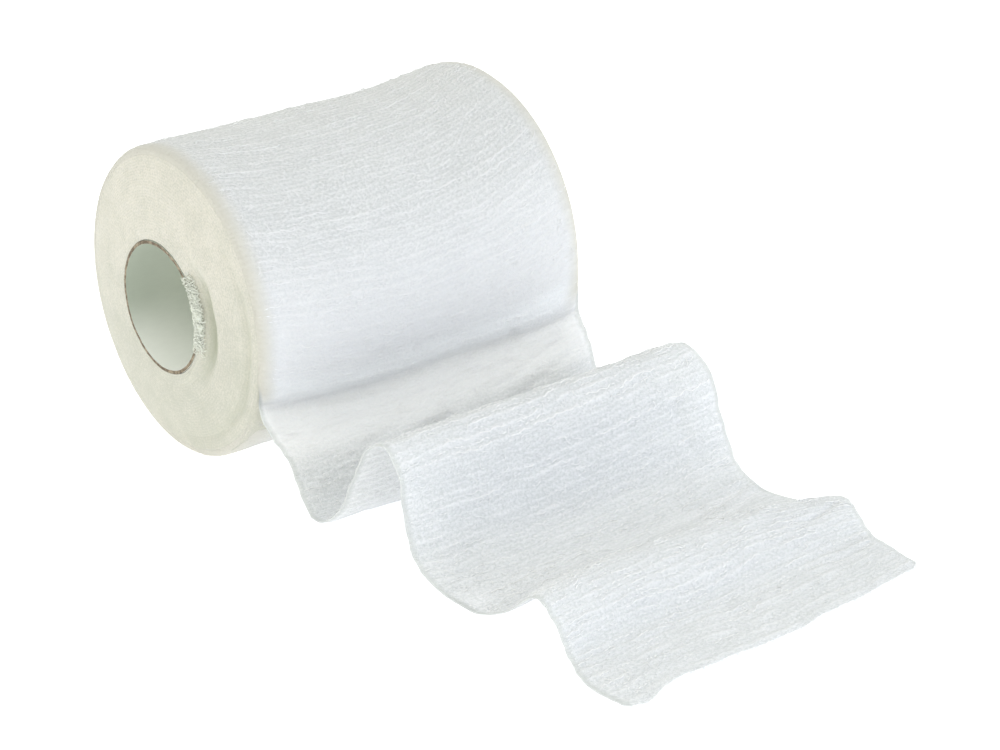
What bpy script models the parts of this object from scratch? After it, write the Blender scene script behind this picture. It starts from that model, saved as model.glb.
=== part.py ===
"""Cohesive bandage: a strip wound on a card core, its loose end laid in folds.

Lengths are metres and +Z is up. The roll lies with its axis along X, the loose
end runs off towards -Y, and the origin is the middle of the flat spot under the
roll. Three pieces are made: the card core, the wound roll and the loose end.
"""

import math
from typing import NamedTuple

import bmesh
import bpy
import numpy as np

MM = 0.001

# Driving dimensions
STRIP_WIDTH = 75 * MM
ROLL_RADIUS = 32.0 * MM
FLARED_RADIUS = 34.2 * MM
CORE_OUTER_RADIUS = 13.7 * MM
CORE_WALL = 0.9 * MM
CORE_PROUD = 3.6 * MM
RIM_ROUNDING = 1.2 * MM
FLAT_DEPTH = 0.4 * MM
CLOTH_THICKNESS = 1.2 * MM
CLEARANCE = 0.3 * MM

HALF_WIDTH = STRIP_WIDTH / 2
AXLE_HEIGHT = ROLL_RADIUS - FLAT_DEPTH
CORE_INNER_RADIUS = CORE_OUTER_RADIUS - CORE_WALL
BORE_RADIUS = CORE_OUTER_RADIUS + CLEARANCE

# The far rim is pushed wider than the rest of the roll, as shares of the width
FLARE_START = 0.64
FLARE_END = 1.0

# How the middle of the roll has slid out of its near end
DOME_POWER = 1.7

# Rings of points on the roll: along its outside as shares of the width, on its two
# end faces as radii, and across each hollow as parts of the hollow's half width
OUTSIDE_SHARES = (0.2, 0.42, 0.64, 0.73, 0.81, 0.88, 0.94)
NEAR_RINGS = (15.4 * MM, 23.0 * MM)
FAR_RINGS = (28.0 * MM, 23.5 * MM, 18.5 * MM)
HOLLOW_RINGS = (-1.3, -0.6, 0.0, 0.6, 1.3)
LEAST_RING_STEP = 0.3 * MM

# Steps round the turned pieces
ROLL_STEPS = 72
CORE_STEPS = 56
RIM_STEPS = 3
MERGE_DISTANCE = 0.001 * MM

# Rows of the loose end along its length and columns across its width
ROWS_ALONG = 78
COLUMNS_ACROSS = 12

# The near corner of the cut end swings out, over this share of the length
SWING_START = 0.87
SWING_LENGTH = 0.08
NEAR_SWING = 2.0 * MM

# The far edge draws in where the cloth lies low, and not where it stands in a fold
FAR_DRAW_IN = 2.6 * MM
LOW_HEIGHT = 4.5 * MM

# Share of the length over which the ragged cut pushes and pulls the cloth
CUT_LENGTH = 0.07

# The lines of the folds wander across the width, most on the tallest fold: a slow
# wave with a quick one on it, from a share of the length on where the cloth is free
WANDER = 0.9 * MM
SLOW_WAVES = 2.3
SLOW_START = 0.1
QUICK_WAVES = 4.1
QUICK_PART = 0.3
FREE_FROM = 0.2
FREE_LENGTH = 0.1
TALLEST_FOLD = 24 * MM

# The cloth keeps at least this share of its thickness where it is pressed flat
PRESSED_SHARE = 0.9


class Hollow(NamedTuple):
    """A ring pressed into the near end, deepest in one direction round the axis.

    The direction is an angle from -Y, positive upwards, and the spread is how far
    the hollow runs to each side of it.
    """

    radius: float
    half_width: float
    depth: float
    direction_deg: float
    spread_deg: float


HOLLOWS = (
    Hollow(18.6 * MM, 1.7 * MM, 1.1 * MM, 4.0, 75.0),
    Hollow(27.8 * MM, 1.1 * MM, 0.6 * MM, -16.0, 95.0),
)


class Fold(NamedTuple):
    """One line across the loose end, as (y, z) of the cloth's middle in millimetres.

    The line is given at the near edge, at the middle of the width and at the far
    edge, with the thickness of the cloth there.
    """

    name: str
    near: tuple
    middle: tuple
    far: tuple
    thickness: float


CLOTH_MM = CLOTH_THICKNESS / MM

FOLDS = (
    Fold("in the roll", (-23.5, 13.7), (-21.0, 13.4), (-26.8, 20.8), 3.4),
    Fold("valley", (-28.4, 12.7), (-26.4, 11.9), (-31.4, 19.2), 1.7),
    Fold("lip", (-32.8, 12.3), (-31.4, 11.4), (-35.0, 16.4), CLOTH_MM),
    Fold("shoulder", (-37.3, 10.0), (-36.4, 9.2), (-37.5, 12.4), CLOTH_MM),
    Fold("fall 1", (-40.6, 5.2), (-40.0, 4.8), (-39.4, 6.8), CLOTH_MM),
    Fold("foot 1", (-43.6, 1.2), (-43.4, 1.2), (-42.4, 1.6), CLOTH_MM),
    Fold("trough 1", (-47.8, 0.6), (-47.6, 0.6), (-46.6, 0.6), CLOTH_MM),
    Fold("rise 1", (-52.6, 3.8), (-52.0, 3.8), (-50.8, 3.6), CLOTH_MM),
    Fold("slope 1", (-60.4, 14.2), (-59.2, 14.0), (-57.6, 13.4), CLOTH_MM),
    Fold("back 1", (-65.6, 21.8), (-64.2, 21.4), (-62.6, 20.4), CLOTH_MM),
    Fold("crest 1", (-70.4, 23.7), (-69.0, 23.0), (-67.6, 22.3), CLOTH_MM),
    Fold("brow 1", (-74.7, 20.2), (-74.0, 19.6), (-74.0, 19.2), CLOTH_MM),
    Fold("fall 2", (-76.2, 11.4), (-76.4, 11.2), (-77.4, 11.0), CLOTH_MM),
    Fold("foot 2", (-79.4, 3.4), (-80.0, 3.3), (-81.6, 3.2), CLOTH_MM),
    Fold("trough 2", (-86.0, 0.7), (-86.8, 0.7), (-88.4, 0.7), CLOTH_MM),
    Fold("sole 2", (-96.8, 0.6), (-95.0, 0.6), (-96.8, 0.6), CLOTH_MM),
    Fold("rise 2", (-104.6, 3.7), (-100.6, 3.3), (-104.0, 2.0), CLOTH_MM),
    Fold("crest 2", (-114.4, 9.8), (-107.4, 7.0), (-112.0, 5.0), CLOTH_MM),
    Fold("brow 2", (-120.0, 7.2), (-115.4, 5.6), (-116.4, 4.0), CLOTH_MM),
    Fold("foot 3", (-124.4, 1.8), (-122.0, 1.2), (-121.4, 1.2), CLOTH_MM),
    Fold("sole 3", (-130.4, 0.6), (-129.0, 0.6), (-127.0, 0.6), CLOTH_MM),
    Fold("cut end", (-141.6, 0.6), (-138.8, 0.6), (-134.4, 0.6), CLOTH_MM),
)


class CutPoint(NamedTuple):
    """How far the ragged cut stands out from a smooth one, at a share of the width."""

    share: float
    stands_out: float


CUT = (
    CutPoint(0.0, 0.0),
    CutPoint(0.08, -1.1),
    CutPoint(0.17, -1.9),
    CutPoint(0.28, -0.9),
    CutPoint(0.42, -0.1),
    CutPoint(0.55, 0.6),
    CutPoint(0.64, -0.6),
    CutPoint(0.72, -0.3),
    CutPoint(0.85, 0.2),
    CutPoint(0.93, 0.5),
    CutPoint(1.0, 0.0),
)


def ease(share: float) -> float:
    """Smooth step from 0 to 1 as the share goes from 0 to 1."""
    share = min(max(share, 0.0), 1.0)
    return share * share * (3 - 2 * share)


def outer_radius(x: float) -> float:
    """Radius of the roll's outer turn at one place along the axis."""
    share = (x + HALF_WIDTH) / STRIP_WIDTH
    flare = ease((share - FLARE_START) / (FLARE_END - FLARE_START))
    return ROLL_RADIUS + (FLARED_RADIUS - ROLL_RADIUS) * flare


def slide(radius: float, rim_radius: float) -> float:
    """How far a turn has slid towards the near end: none at the rim, most at the core."""
    share = (radius - CORE_OUTER_RADIUS) / (rim_radius - CORE_OUTER_RADIUS)
    return CORE_PROUD * (1 - max(share, 0.0) ** DOME_POWER)


def end_radii(rim_radius: float) -> list:
    """Radii at which an end face has a ring of points, from the bore to the rounding."""
    edge = rim_radius - RIM_ROUNDING
    rings = [BORE_RADIUS, *NEAR_RINGS]
    for hollow in HOLLOWS:
        rings += [hollow.radius + hollow.half_width * offset for offset in HOLLOW_RINGS]
    return sorted(ring for ring in rings if ring < edge - LEAST_RING_STEP) + [edge]


def rim_arc(x_flat: float, rim_radius: float, inward: float) -> list:
    """Quarter round between an end face and the outer turn, from the face outwards."""
    points = []
    for step in range(1, RIM_STEPS + 1):
        angle = math.pi / 2 * step / RIM_STEPS
        x = x_flat + inward * RIM_ROUNDING * (1 - math.cos(angle))
        points.append((x, rim_radius - RIM_ROUNDING * (1 - math.sin(angle))))
    return points


def roll_section() -> list:
    """Section of the roll as a closed loop of (x, radius), starting at the near bore."""
    near_rim = outer_radius(-HALF_WIDTH)
    far_rim = outer_radius(HALF_WIDTH)
    near_edge = -HALF_WIDTH - slide(near_rim - RIM_ROUNDING, near_rim)
    far_edge = HALF_WIDTH - slide(far_rim - RIM_ROUNDING, far_rim)

    section = [(-HALF_WIDTH - slide(radius, near_rim), radius) for radius in end_radii(near_rim)]
    section += rim_arc(near_edge, near_rim, 1.0)
    for share in OUTSIDE_SHARES:
        x = -HALF_WIDTH + STRIP_WIDTH * share
        section.append((x, outer_radius(x)))
    section += reversed(rim_arc(far_edge, far_rim, -1.0))
    far_rings = (far_rim - RIM_ROUNDING, *FAR_RINGS, BORE_RADIUS)
    section += [(HALF_WIDTH - slide(radius, far_rim), radius) for radius in far_rings]
    return section


def clearance_section() -> list:
    """Section of the space that the loose end keeps clear of, down to the axis."""
    overrun = 6 * MM
    places = [-HALF_WIDTH + STRIP_WIDTH * share for share in OUTSIDE_SHARES]
    section = [(-HALF_WIDTH - overrun, 0.0)]
    for x in (-HALF_WIDTH - overrun, *places, HALF_WIDTH, HALF_WIDTH + overrun):
        section.append((x, outer_radius(x) + CLEARANCE))
    section.append((HALF_WIDTH + overrun, 0.0))
    return section


def core_section() -> list:
    """Section of the card core as a closed loop of (x, radius)."""
    near = -HALF_WIDTH - CORE_PROUD
    far = HALF_WIDTH - CORE_PROUD
    return [
        (near, CORE_INNER_RADIUS),
        (near, CORE_OUTER_RADIUS),
        (far, CORE_OUTER_RADIUS),
        (far, CORE_INNER_RADIUS),
    ]


def turned(section: list, steps: int) -> bmesh.types.BMesh:
    """Closed body that a section makes when it is turned round the roll's axis."""
    body = bmesh.new()
    verts = [body.verts.new((x, 0.0, AXLE_HEIGHT + radius)) for x, radius in section]
    for first, second in zip(verts, verts[1:] + verts[:1]):
        body.edges.new((first, second))
    bmesh.ops.spin(
        body,
        geom=list(body.verts) + list(body.edges),
        cent=(0.0, 0.0, AXLE_HEIGHT),
        axis=(1.0, 0.0, 0.0),
        angle=2 * math.pi,
        steps=steps,
        use_merge=True,
    )
    bmesh.ops.remove_doubles(body, verts=body.verts, dist=MERGE_DISTANCE)
    bmesh.ops.dissolve_degenerate(body, edges=body.edges, dist=MERGE_DISTANCE)
    bmesh.ops.recalc_face_normals(body, faces=body.faces)
    return body


def press_end_hollows(body: bmesh.types.BMesh) -> None:
    """Press the ring hollows into the near end of the roll."""
    for vert in body.verts:
        if vert.co.x > -HALF_WIDTH + RIM_ROUNDING / 2:
            continue
        height = vert.co.z - AXLE_HEIGHT
        radius = math.hypot(vert.co.y, height)
        angle = math.degrees(math.atan2(height, -vert.co.y))
        for hollow in HOLLOWS:
            turn = abs((angle - hollow.direction_deg + 180) % 360 - 180)
            reach = ease(1 - turn / hollow.spread_deg)
            ring = math.exp(-(((radius - hollow.radius) / hollow.half_width) ** 2))
            vert.co.x += hollow.depth * reach * ring


def rest_flat(body: bmesh.types.BMesh) -> None:
    """Flatten what would reach below the surface that the roll rests on."""
    for vert in body.verts:
        vert.co.z = max(vert.co.z, 0.0)


def across(values: tuple, share: float) -> np.ndarray:
    """Read a smooth curve through near, middle and far values at a share of the width."""
    near, middle, far = (np.asarray(value, dtype=float) for value in values)
    return (
        near * (1 - share) * (1 - 2 * share)
        + middle * 4 * share * (1 - share)
        + far * share * (2 * share - 1)
    )


def along(knots: np.ndarray, values: np.ndarray, places: np.ndarray) -> np.ndarray:
    """Cubic curve through the values at the knots, read at the places."""
    slopes = np.gradient(values, knots, axis=0)
    index = np.clip(np.searchsorted(knots, places, side="right") - 1, 0, len(knots) - 2)
    span = (knots[index + 1] - knots[index])[:, None]
    share = (places - knots[index])[:, None] / span
    square = share * share
    cube = square * share
    return (
        (2 * cube - 3 * square + 1) * values[index]
        + (cube - 2 * square + share) * span * slopes[index]
        + (3 * square - 2 * cube) * values[index + 1]
        + (cube - square) * span * slopes[index + 1]
    )


def fold_knots() -> np.ndarray:
    """Distance of each fold line from the first one, along the middle of the cloth."""
    middle = np.array([fold.middle for fold in FOLDS]) * MM
    steps = np.hypot(*np.diff(middle, axis=0).T)
    return np.concatenate(([0.0], np.cumsum(steps)))


def cloth_column(share: float) -> np.ndarray:
    """Rows of (x, y, z, thickness) down the loose end at one share of its width."""
    knots = fold_knots()
    places = np.linspace(0.0, knots[-1], ROWS_ALONG + 1)
    lines = [across((fold.near, fold.middle, fold.far), share) * MM for fold in FOLDS]
    thickness = [[fold.thickness * MM] for fold in FOLDS]
    rows = along(knots, np.hstack((np.array(lines), np.array(thickness))), places)

    travel = places / knots[-1]
    swing = np.array([ease((value - SWING_START) / SWING_LENGTH) for value in travel])
    low = 1 - np.clip(rows[:, 1] / LOW_HEIGHT, 0.0, 1.0)
    x_near = -HALF_WIDTH - NEAR_SWING * swing
    x_far = HALF_WIDTH - FAR_DRAW_IN * low
    x = x_near + (x_far - x_near) * share

    height = np.clip(rows[:, 1] / TALLEST_FOLD, 0.0, 1.0)
    free = np.array([ease((value - FREE_FROM) / FREE_LENGTH) for value in travel])
    slow_wave = math.sin(2 * math.pi * (SLOW_WAVES * share + SLOW_START))
    quick_wave = math.sin(2 * math.pi * QUICK_WAVES * share)
    rows[:, 0] += WANDER * height * free * (slow_wave + QUICK_PART * quick_wave)
    last = np.array([ease((value - 1 + CUT_LENGTH) / CUT_LENGTH) for value in travel])
    stands_out = np.interp(share, [p.share for p in CUT], [p.stands_out for p in CUT])
    rows[:, 0] -= stands_out * MM * last
    return np.column_stack((x, rows))


def cloth_faces() -> tuple:
    """Under and upper faces of the loose end, as grids of points."""
    shares = np.linspace(0.0, 1.0, COLUMNS_ACROSS + 1)
    columns = np.stack([cloth_column(share) for share in shares], axis=1)
    middle = columns[:, :, :3]
    down = np.gradient(middle, axis=0)
    side = np.gradient(middle, axis=1)
    normal = np.cross(down, side)
    normal /= np.linalg.norm(normal, axis=2, keepdims=True)
    half = columns[:, :, 3:] / 2
    under = middle - normal * half
    upper = middle + normal * half
    under[:, :, 2] = np.maximum(under[:, :, 2], 0.0)
    upper[:, :, 2] = np.maximum(upper[:, :, 2], CLOTH_THICKNESS * PRESSED_SHARE)
    return under, upper


def loose_end_body() -> bmesh.types.BMesh:
    """Sheet of cloth with real thickness, laid in its folds."""
    body = bmesh.new()
    bmesh.ops.create_grid(body, x_segments=COLUMNS_ACROSS, y_segments=ROWS_ALONG, size=1.0)
    lower = list(body.verts)
    raised = bmesh.ops.extrude_face_region(body, geom=list(body.faces), use_keep_orig=True)
    upper = [item for item in raised["geom"] if isinstance(item, bmesh.types.BMVert)]
    for verts, grid in zip((lower, upper), cloth_faces()):
        for vert in verts:
            row = round((vert.co.y + 1) / 2 * ROWS_ALONG)
            column = round((vert.co.x + 1) / 2 * COLUMNS_ACROSS)
            vert.co = grid[row, column]
    bmesh.ops.recalc_face_normals(body, faces=body.faces)
    return body


def material(name: str, colour: tuple, roughness: float) -> bpy.types.Material:
    """Plain Principled material."""
    made = bpy.data.materials.new(name)
    made.use_nodes = True
    shader = made.node_tree.nodes["Principled BSDF"]
    shader.inputs["Base Color"].default_value = (*colour, 1.0)
    shader.inputs["Roughness"].default_value = roughness
    shader.inputs["Metallic"].default_value = 0.0
    return made


def add_object(name: str, body: bmesh.types.BMesh) -> bpy.types.Object:
    """Turn a body into a scene object with smooth shading."""
    mesh = bpy.data.meshes.new(name)
    body.to_mesh(mesh)
    body.free()
    mesh.shade_smooth()
    mesh.set_sharp_from_angle(angle=math.radians(40))
    made = bpy.data.objects.new(name, mesh)
    bpy.context.scene.collection.objects.link(made)
    return made


def add_core() -> None:
    """Card tube that the strip is wound on."""
    core = add_object("core", turned(core_section(), CORE_STEPS))
    core.data.materials.append(material("card", (0.62, 0.58, 0.46), 0.8))


def add_roll() -> None:
    """Wound strip: a turned body with its slid-out near end and its flat spot."""
    body = turned(roll_section(), ROLL_STEPS)
    press_end_hollows(body)
    rest_flat(body)
    roll = add_object("roll", body)
    roll.data.materials.append(material("wound cloth", (0.86, 0.85, 0.78), 0.9))


def add_loose_end() -> None:
    """Loose end of the strip, cut back from the roll that it leaves."""
    cutter = add_object("roll_clearance", turned(clearance_section(), ROLL_STEPS))
    cutter.hide_render = True
    cutter.display_type = "WIRE"

    loose_end = add_object("loose_end", loose_end_body())
    loose_end.data.materials.append(material("cloth", (0.88, 0.91, 0.92), 0.9))
    trim = loose_end.modifiers.new("clear of the roll", "BOOLEAN")
    trim.operation = "DIFFERENCE"
    trim.object = cutter


def main() -> None:
    """Clear the scene and model the three pieces."""
    for old in list(bpy.data.objects):
        bpy.data.objects.remove(old, do_unlink=True)
    add_core()
    add_roll()
    add_loose_end()


main()
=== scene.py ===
"""Looks of a cohesive bandage: crinkled gauze wound on a card core, its loose end in folds.

The shapes are worked out in millimetres and written to the meshes in metres. +X runs
along the roll's axis from the near end to the far end, the loose end runs out
towards -Y, +Z is up, and the origin is under the middle of the roll.
"""

import logging
import math
from dataclasses import dataclass
from enum import Enum

import bmesh
import bpy
import numpy as np
from mathutils import Matrix, Vector

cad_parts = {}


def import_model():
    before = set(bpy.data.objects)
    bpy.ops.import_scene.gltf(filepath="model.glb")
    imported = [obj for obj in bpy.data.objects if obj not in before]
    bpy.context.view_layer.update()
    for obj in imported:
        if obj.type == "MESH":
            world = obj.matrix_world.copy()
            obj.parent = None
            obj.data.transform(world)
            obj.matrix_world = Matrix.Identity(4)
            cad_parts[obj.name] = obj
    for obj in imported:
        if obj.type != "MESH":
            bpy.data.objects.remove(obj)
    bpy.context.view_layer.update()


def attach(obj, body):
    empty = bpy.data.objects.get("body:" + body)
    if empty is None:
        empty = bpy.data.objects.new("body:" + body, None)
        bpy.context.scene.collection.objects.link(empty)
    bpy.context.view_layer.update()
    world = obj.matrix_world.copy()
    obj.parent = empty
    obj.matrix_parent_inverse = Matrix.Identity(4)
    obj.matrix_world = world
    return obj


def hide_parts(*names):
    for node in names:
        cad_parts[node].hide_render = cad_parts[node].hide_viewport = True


MM = 0.001
STRIP_WIDTH = 75.0
HALF_WIDTH = STRIP_WIDTH / 2
AXLE_Z = 31.6
ROLL_RADIUS = 32.0
CORE_RADIUS = 13.7
FULL_TURN = 2 * math.pi
MAP_ACROSS = 100.0
MAP_ALONG = 400.0
THREAD_SIDES = 3

Array = np.ndarray
Triple = tuple[float, float, float]
Colour = Triple

log = logging.getLogger("bandage")


def ease(share: Array) -> Array:
    """Smooth step from 0 to 1 as the share goes from 0 to 1."""
    share = np.clip(share, 0.0, 1.0)
    return share * share * (3 - 2 * share)


def wave(turns: Array) -> Array:
    """Wave from 0 to 1 that is highest at each whole turn."""
    return 0.5 + 0.5 * np.cos(FULL_TURN * turns)


class SoftNoise:
    """Smooth, repeatable unevenness over a plane."""

    def __init__(self, seed: int, size: int = 64) -> None:
        """Make the lattice of values.

        Args:
            seed: Picks the pattern.
            size: Lattice cells each way, after which the pattern repeats.
        """
        self.size = size
        self.values = np.random.default_rng(seed).uniform(-1.0, 1.0, (size, size))

    def at(self, a: Array, b: Array) -> Array:
        """Read the unevenness.

        Args:
            a: First coordinate, in cells.
            b: Second coordinate, in cells.

        Returns:
            Values from -1 to 1, in the shape of the coordinates.
        """
        a, b = np.broadcast_arrays(np.asarray(a, float), np.asarray(b, float))
        low_a, low_b = np.floor(a), np.floor(b)
        part_a, part_b = ease(a - low_a), ease(b - low_b)
        i, j = low_a.astype(int) % self.size, low_b.astype(int) % self.size
        i_next, j_next = (i + 1) % self.size, (j + 1) % self.size
        low = self.values[i, j] * (1 - part_a) + self.values[i_next, j] * part_a
        high = self.values[i, j_next] * (1 - part_a) + self.values[i_next, j_next] * part_a
        return low * (1 - part_b) + high * part_b


@dataclass(frozen=True)
class FoldLine:
    """A line across the loose end, as (y, z) of the cloth's middle at three places."""

    name: str
    near: tuple[float, float]
    middle: tuple[float, float]
    far: tuple[float, float]


FOLD_LINES = (
    FoldLine("bend", (-29.5, 15.6), (-27.8, 13.3), (-33.2, 20.0)),
    FoldLine("throat", (-31.1, 13.7), (-29.8, 12.1), (-34.4, 18.1)),
    FoldLine("lip", (-33.2, 12.4), (-32.1, 11.2), (-35.5, 16.2)),
    FoldLine("shoulder", (-37.3, 10.0), (-36.4, 9.2), (-37.5, 12.4)),
    FoldLine("fall 1", (-40.6, 5.2), (-40.0, 4.8), (-39.4, 6.8)),
    FoldLine("foot 1", (-43.6, 1.2), (-43.4, 1.2), (-42.4, 1.6)),
    FoldLine("trough 1", (-48.0, 0.6), (-49.2, 0.6), (-48.0, 0.6)),
    FoldLine("rise 1", (-52.8, 3.6), (-53.4, 3.4), (-52.0, 3.3)),
    FoldLine("slope 1", (-60.4, 14.2), (-59.2, 14.0), (-57.6, 13.4)),
    FoldLine("back 1", (-65.6, 21.8), (-64.2, 21.7), (-62.6, 21.1)),
    FoldLine("crest 1", (-70.4, 23.8), (-69.0, 23.3), (-67.8, 22.8)),
    FoldLine("brow 1", (-74.7, 20.2), (-74.0, 19.6), (-74.4, 19.6)),
    FoldLine("fall 2", (-76.2, 11.4), (-76.4, 11.2), (-77.8, 11.4)),
    FoldLine("foot 2", (-79.4, 3.4), (-80.0, 3.3), (-82.0, 3.6)),
    FoldLine("trough 2", (-86.4, 0.7), (-87.0, 0.7), (-88.4, 0.8)),
    FoldLine("sole 2", (-98.2, 0.6), (-96.2, 0.6), (-97.4, 0.6)),
    FoldLine("rise 2", (-105.2, 3.4), (-101.4, 3.0), (-104.4, 1.9)),
    FoldLine("crest 2", (-114.4, 9.8), (-107.4, 7.1), (-112.0, 5.4)),
    FoldLine("brow 2", (-120.0, 7.2), (-115.4, 5.6), (-116.4, 4.0)),
    FoldLine("foot 3", (-124.4, 1.8), (-122.0, 1.2), (-121.4, 1.2)),
    FoldLine("sole 3", (-130.4, 0.6), (-129.0, 0.6), (-127.0, 0.6)),
    FoldLine("cut end", (-141.6, 0.6), (-138.8, 0.6), (-134.4, 0.6)),
)


@dataclass(frozen=True)
class Crease:
    """A listed soft crease: troughs have a height below 0.

    Both ends are (millimetres from the near edge, millimetres from the valley).
    """

    name: str
    start: tuple[float, float]
    end: tuple[float, float]
    half_width: float
    height: float


CREASES = (
    Crease("gather below the valley, near", (14.0, 12.0), (42.0, 3.2), 0.8, -0.45),
    Crease("swelling between the gathers", (20.0, 13.2), (44.0, 5.6), 1.1, 0.4),
    Crease("gather lower down", (20.0, 15.5), (46.0, 8.0), 0.8, -0.45),
    Crease("gather towards the far edge", (46.0, 9.5), (75.0, 2.0), 0.9, -0.45),
    Crease("second gather towards the far edge", (54.0, 12.5), (75.0, 6.0), 0.8, -0.4),
    Crease("swelling by the far edge", (52.0, 11.0), (75.0, 4.2), 1.0, 0.3),
    Crease("wrinkle where the far part leaves the roll", (59.0, -5.0), (62.0, 4.0), 1.4, -0.5),
    Crease("pull down the front of the tall fold", (65.0, 61.0), (66.4, 80.0), 0.9, -0.45),
    Crease("swelling beside that pull", (69.5, 60.0), (70.5, 78.0), 2.6, 0.45),
    Crease("slant on the tall fold's front", (30.0, 82.5), (52.0, 79.0), 1.5, -0.3),
    Crease("hollow by the fold's near edge", (4.0, 62.0), (8.0, 78.0), 2.6, -0.3),
    Crease("pucker at the near foot", (-2.0, 94.3), (11.0, 94.0), 0.7, -0.5),
    Crease("second pucker", (-2.0, 97.2), (8.0, 96.2), 0.6, -0.4),
    Crease("gather at the far foot", (50.0, 95.0), (77.0, 87.0), 0.9, -0.45),
    Crease("second gather at the far foot", (52.0, 98.5), (77.0, 90.5), 0.9, -0.5),
    Crease("swelling between those", (52.0, 96.8), (77.0, 88.8), 0.9, 0.35),
    Crease("ridge on the low fold's crest", (-1.0, 109.5), (30.0, 108.6), 0.7, 0.35),
    Crease("ridge beyond it", (30.0, 108.6), (76.0, 110.0), 0.7, 0.3),
    Crease("swelling on the low fold's far part", (50.0, 114.5), (66.0, 106.0), 1.6, 0.5),
    Crease("crease at the far edge of the low fold", (62.0, 118.5), (74.0, 112.5), 0.8, -0.5),
    Crease("swirl by the far edge", (59.0, 127.0), (72.0, 128.5), 0.7, 0.3),
    Crease("hollow under that swirl", (60.0, 129.4), (71.0, 130.2), 0.8, -0.3),
    Crease("hollow before the cut, near", (0.0, 140.5), (28.0, 141.0), 1.6, -0.25),
)


# The ragged cut: share of the width, and how many millimetres it stands out there.
CUT = (
    (0.0, -0.7), (0.015, 0.9), (0.04, 1.9), (0.08, 1.3), (0.13, -0.5), (0.2, -1.3), (0.28, -0.6),
    (0.36, 0.2), (0.42, 0.9), (0.5, 1.2), (0.56, 1.7), (0.6, 1.3), (0.64, 0.8), (0.72, 1.3),
    (0.78, 1.5), (0.86, 1.3), (0.93, 1.4), (0.97, 1.5), (0.985, 1.1), (1.0, -0.2),
)

# The crinkle ridges: millimetres from the valley, and from one ridge to the next there.
RIDGE_SPACINGS = (
    (-200.0, 2.35), (-60.0, 2.3), (0.0, 2.0), (14.0, 1.9), (55.0, 2.2), (92.0, 2.2), (108.0, 1.9),
    (118.0, 1.65), (126.0, 1.8), (132.0, 2.6), (152.0, 2.9),
)


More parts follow.
